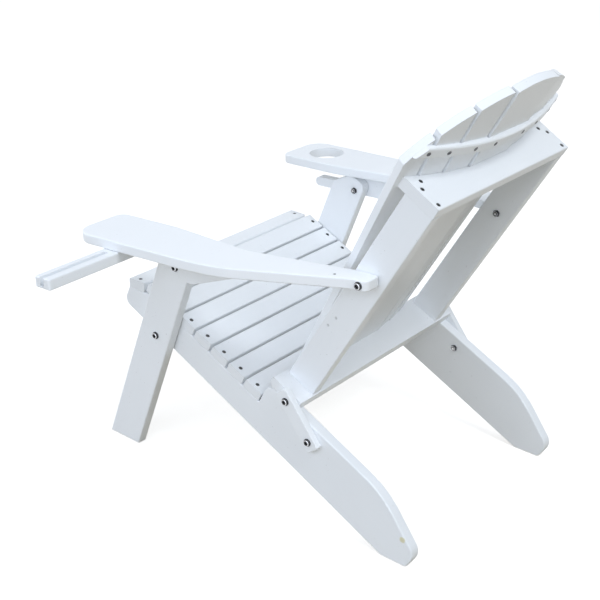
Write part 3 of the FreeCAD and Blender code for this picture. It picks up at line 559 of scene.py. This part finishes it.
def axis_of(points):
    """Middle and axis of a turned solid: across the axis it spreads equally both ways."""
    middle = points.mean(axis=0)
    spreads, directions = np.linalg.eigh((points - middle).T @ (points - middle))
    longest = spreads[2] - spreads[1] > spreads[1] - spreads[0]
    return middle, directions[:, 2 if longest else 0]


def rim(levels, radii, chosen):
    """Radius of the widest part of a turned solid, and the levels where it starts and ends."""
    radius = radii[chosen].max()
    on_rim = levels[chosen & (radii > RIM_SHARE * radius)]
    return radius, on_rim.min(), on_rim.max()


def fastener_rings(kind, levels, radii):
    """Rings of a fastener from its head down, the way its head points along the axis, and its top."""
    middle = (levels.min() + levels.max()) / 2
    off_axis = radii > 0.0
    radius, low, high = rim(levels, radii, off_axis)
    up = 1.0 if (low + high) / 2 > middle else -1.0
    levels = levels * up
    top, long = levels.max(), levels.max() - levels.min()
    depth = top - rim(levels, radii, off_axis)[1]
    rings = HEADS[kind](radius, depth)
    below_head = levels < top - depth + LEVEL_SLACK
    shank = radii[below_head & (radii > NEAR_AXIS) & (radii < SHANK_LIMIT * radius)].min()
    rings.append(Ring(ROUND, shank, -depth))
    if kind == "through":
        nut_radius, _, nut_face = rim(levels, radii, levels < top - long / 2)
        nut_high = nut_face - levels.min()
        rings.append(Ring(ROUND, shank, nut_high - long))
        nut = lock_nut(nut_radius, nut_high)
        rings += [Ring(ring.sides, ring.size, -long - ring.level, ring.bare_and_highlit) for ring in reversed(nut)]
    else:
        rings.append(Ring(ROUND, shank, TIP_LENGTH * shank - long))
        rings.append(Ring(ROUND, TIP_WIDTH * shank, -long))
    return rings, up, top


def add_turned(mesh, matrix, rings):
    """Adds one closed fastener; the faces with the painted highlight take the second material, the bright
    steel.
    """
    loops = []
    for ring in rings:
        loop = []
        for step in range(POINTS_AROUND):
            angle = 2.0 * math.pi * step / POINTS_AROUND
            reach = ring.reach(angle)
            local = Vector((reach * math.cos(angle), reach * math.sin(angle), ring.level))
            loop.append(mesh.verts.new(matrix @ local))
        loops.append(loop)
    faces = [mesh.faces.new(loops[0]), mesh.faces.new(reversed(loops[-1]))]
    faces[0].material_index = int(rings[0].bare_and_highlit)
    faces[1].material_index = int(rings[-1].bare_and_highlit)
    for upper, lower, above, below in zip(loops, loops[1:], rings, rings[1:]):
        for step in range(POINTS_AROUND):
            after = (step + 1) % POINTS_AROUND
            face = mesh.faces.new((upper[step], lower[step], lower[after], upper[after]))
            face.material_index = int(above.bare_and_highlit and below.bare_and_highlit)
            faces.append(face)
    for face in faces:
        face.smooth = True
    bmesh.ops.recalc_face_normals(mesh, faces=faces)


def add_fasteners(node, kind):
    """All fasteners of a CAD node as one piece, each turned a little further than the one before."""
    mesh = bmesh.new()
    for number, points in enumerate(islands(nodes[node].data)):
        middle, axis = axis_of(points)
        levels = (points - middle) @ axis
        radii = np.linalg.norm(points - middle - np.outer(levels, axis), axis=1)
        rings, up, top = fastener_rings(kind, levels, radii)
        outward = Vector(axis) * up
        spin = Matrix.Rotation(math.radians(SPIN_STEP * number + SPIN_START), 4, "Z")
        shift = Matrix.Translation(Vector(middle) + outward * top)
        turn = outward.to_track_quat("Z", "Y").to_matrix().to_4x4()
        add_turned(mesh, shift @ turn @ spin, rings)
    data = bpy.data.meshes.new(node + "_turned")
    mesh.to_mesh(data)
    mesh.free()
    data.set_sharp_from_angle(angle=SHARP_ANGLE)
    data.materials.append(STEELS[kind])
    # The second material is the bright steel that paints the highlights.
    data.materials.append(highlight_steel)
    add_piece(node + "_turned", data, node)


for kind, members in FASTENERS.items():
    for node in members:
        add_fasteners(node, kind)

# Floor, light and camera

FLOOR_HALF = 12.0
FLOOR_DROP = 0.0005
FLOOR_SEEN = (0.90, 0.875, 0.84, 1.0)
FLOOR_BOUNCE = (0.305, 0.258, 0.168, 1.0)
FLOOR_LIFT = 0.50
FLOOR_ROUGHNESS = 0.9
SKY = (0.864, 0.921, 1.0, 1.0)
SKY_LEVEL = 0.555
TOP_COLOUR = (0.898, 0.947, 1.0)
SIDE_COLOUR = (0.784, 0.860, 1.0)
LAMP_TARGET = Vector((0.0, 0.1, 0.4))
CAMERA_PLACE = Vector((1.9280, 1.4682, 1.5156))
CAMERA_YAW = math.radians(51.0)
CAMERA_PITCH = math.radians(25.46)
CAMERA_ROLL = math.radians(0.97)
CAMERA_LENS = 71.75
CAMERA_SENSOR = 36.0


def seen_directly(tree):
    """1 for rays from the camera and in reflections, 0 for the light that falls on the object."""
    ray = tree.nodes.new("ShaderNodeLightPath")
    seen = calc(tree, "MAXIMUM", ray.outputs["Is Camera Ray"], ray.outputs["Is Glossy Ray"])
    return calc(tree, "MAXIMUM", seen, ray.outputs["Is Transmission Ray"])


def add_floor():
    """A pale floor just under the feet, nearly white to the eye and darker and warmer in its bounce."""
    mesh = bpy.data.meshes.new("floor")
    corners = [(x * FLOOR_HALF, y * FLOOR_HALF, 0.0) for x, y in ((-1, -1), (1, -1), (1, 1), (-1, 1))]
    mesh.from_pydata(corners, [], [(0, 1, 2, 3)])
    floor = add_object("floor", mesh)
    floor.location.z = -FLOOR_DROP
    material, tree, shader = new_material("floor_pale")
    seen = seen_directly(tree)
    feed(tree, shader.inputs["Base Color"], blended(tree, seen, FLOOR_BOUNCE, FLOOR_SEEN))
    shader.inputs["Roughness"].default_value = FLOOR_ROUGHNESS
    shader.inputs["Specular IOR Level"].default_value = 0.0
    shader.inputs["Emission Color"].default_value = WHITE
    feed(tree, shader.inputs["Emission Strength"], calc(tree, "MULTIPLY", seen, FLOOR_LIFT))
    mesh.materials.append(material)


def background(tree, colour, strength):
    node = tree.nodes.new("ShaderNodeBackground")
    node.inputs["Color"].default_value = colour
    node.inputs["Strength"].default_value = strength
    return node.outputs["Background"]


def add_world():
    """White to the eye and in reflections, a soft blue sky for the light."""
    world = bpy.data.worlds.new("studio")
    bpy.context.scene.world = world
    world.use_nodes = True
    tree = world.node_tree
    tree.nodes.clear()
    output = tree.nodes.new("ShaderNodeOutputWorld")
    mix = tree.nodes.new("ShaderNodeMixShader")
    feed(tree, mix.inputs["Fac"], seen_directly(tree))
    feed(tree, mix.inputs[1], background(tree, SKY, SKY_LEVEL))
    feed(tree, mix.inputs[2], background(tree, WHITE, 1.0))
    feed(tree, output.inputs["Surface"], mix.outputs["Shader"])


def add_lamp(name, place, size, power, colour):
    lamp = bpy.data.lights.new(name, "AREA")
    lamp.shape = "SQUARE"
    lamp.size = size
    lamp.energy = power
    lamp.color = colour
    item = add_object(name, lamp)
    item.location = place
    item.rotation_euler = (LAMP_TARGET - Vector(place)).to_track_quat("-Z", "Y").to_euler()


def add_camera():
    """The camera that was fitted to the photograph."""
    data = bpy.data.cameras.new("camera")
    data.sensor_width = CAMERA_SENSOR
    data.sensor_height = CAMERA_SENSOR
    data.lens = CAMERA_LENS
    item = add_object("camera", data)
    level = math.cos(CAMERA_PITCH)
    away = Vector((math.sin(CAMERA_YAW) * level, math.cos(CAMERA_YAW) * level, math.sin(CAMERA_PITCH)))
    right = (-away).cross(UPWARD).normalized()
    up = right.cross(-away)
    turned_right = right * math.cos(CAMERA_ROLL) + up * math.sin(CAMERA_ROLL)
    turned_up = up * math.cos(CAMERA_ROLL) - right * math.sin(CAMERA_ROLL)
    matrix = Matrix((turned_right, turned_up, away)).transposed().to_4x4()
    matrix.translation = CAMERA_PLACE
    item.matrix_world = matrix
    bpy.context.scene.camera = item


add_floor()
add_world()
add_lamp("top", place=(0.4, 3.05, 4.4), size=1.8, power=94.0, colour=TOP_COLOUR)
add_lamp("side", place=(4.2, 0.3, 1.8), size=4.0, power=95.0, colour=SIDE_COLOUR)
add_lamp("front", place=(0.4, -4.4, 2.4), size=3.0, power=52.0, colour=TOP_COLOUR)
add_camera()
bpy.context.scene.view_settings.view_transform = "Standard"
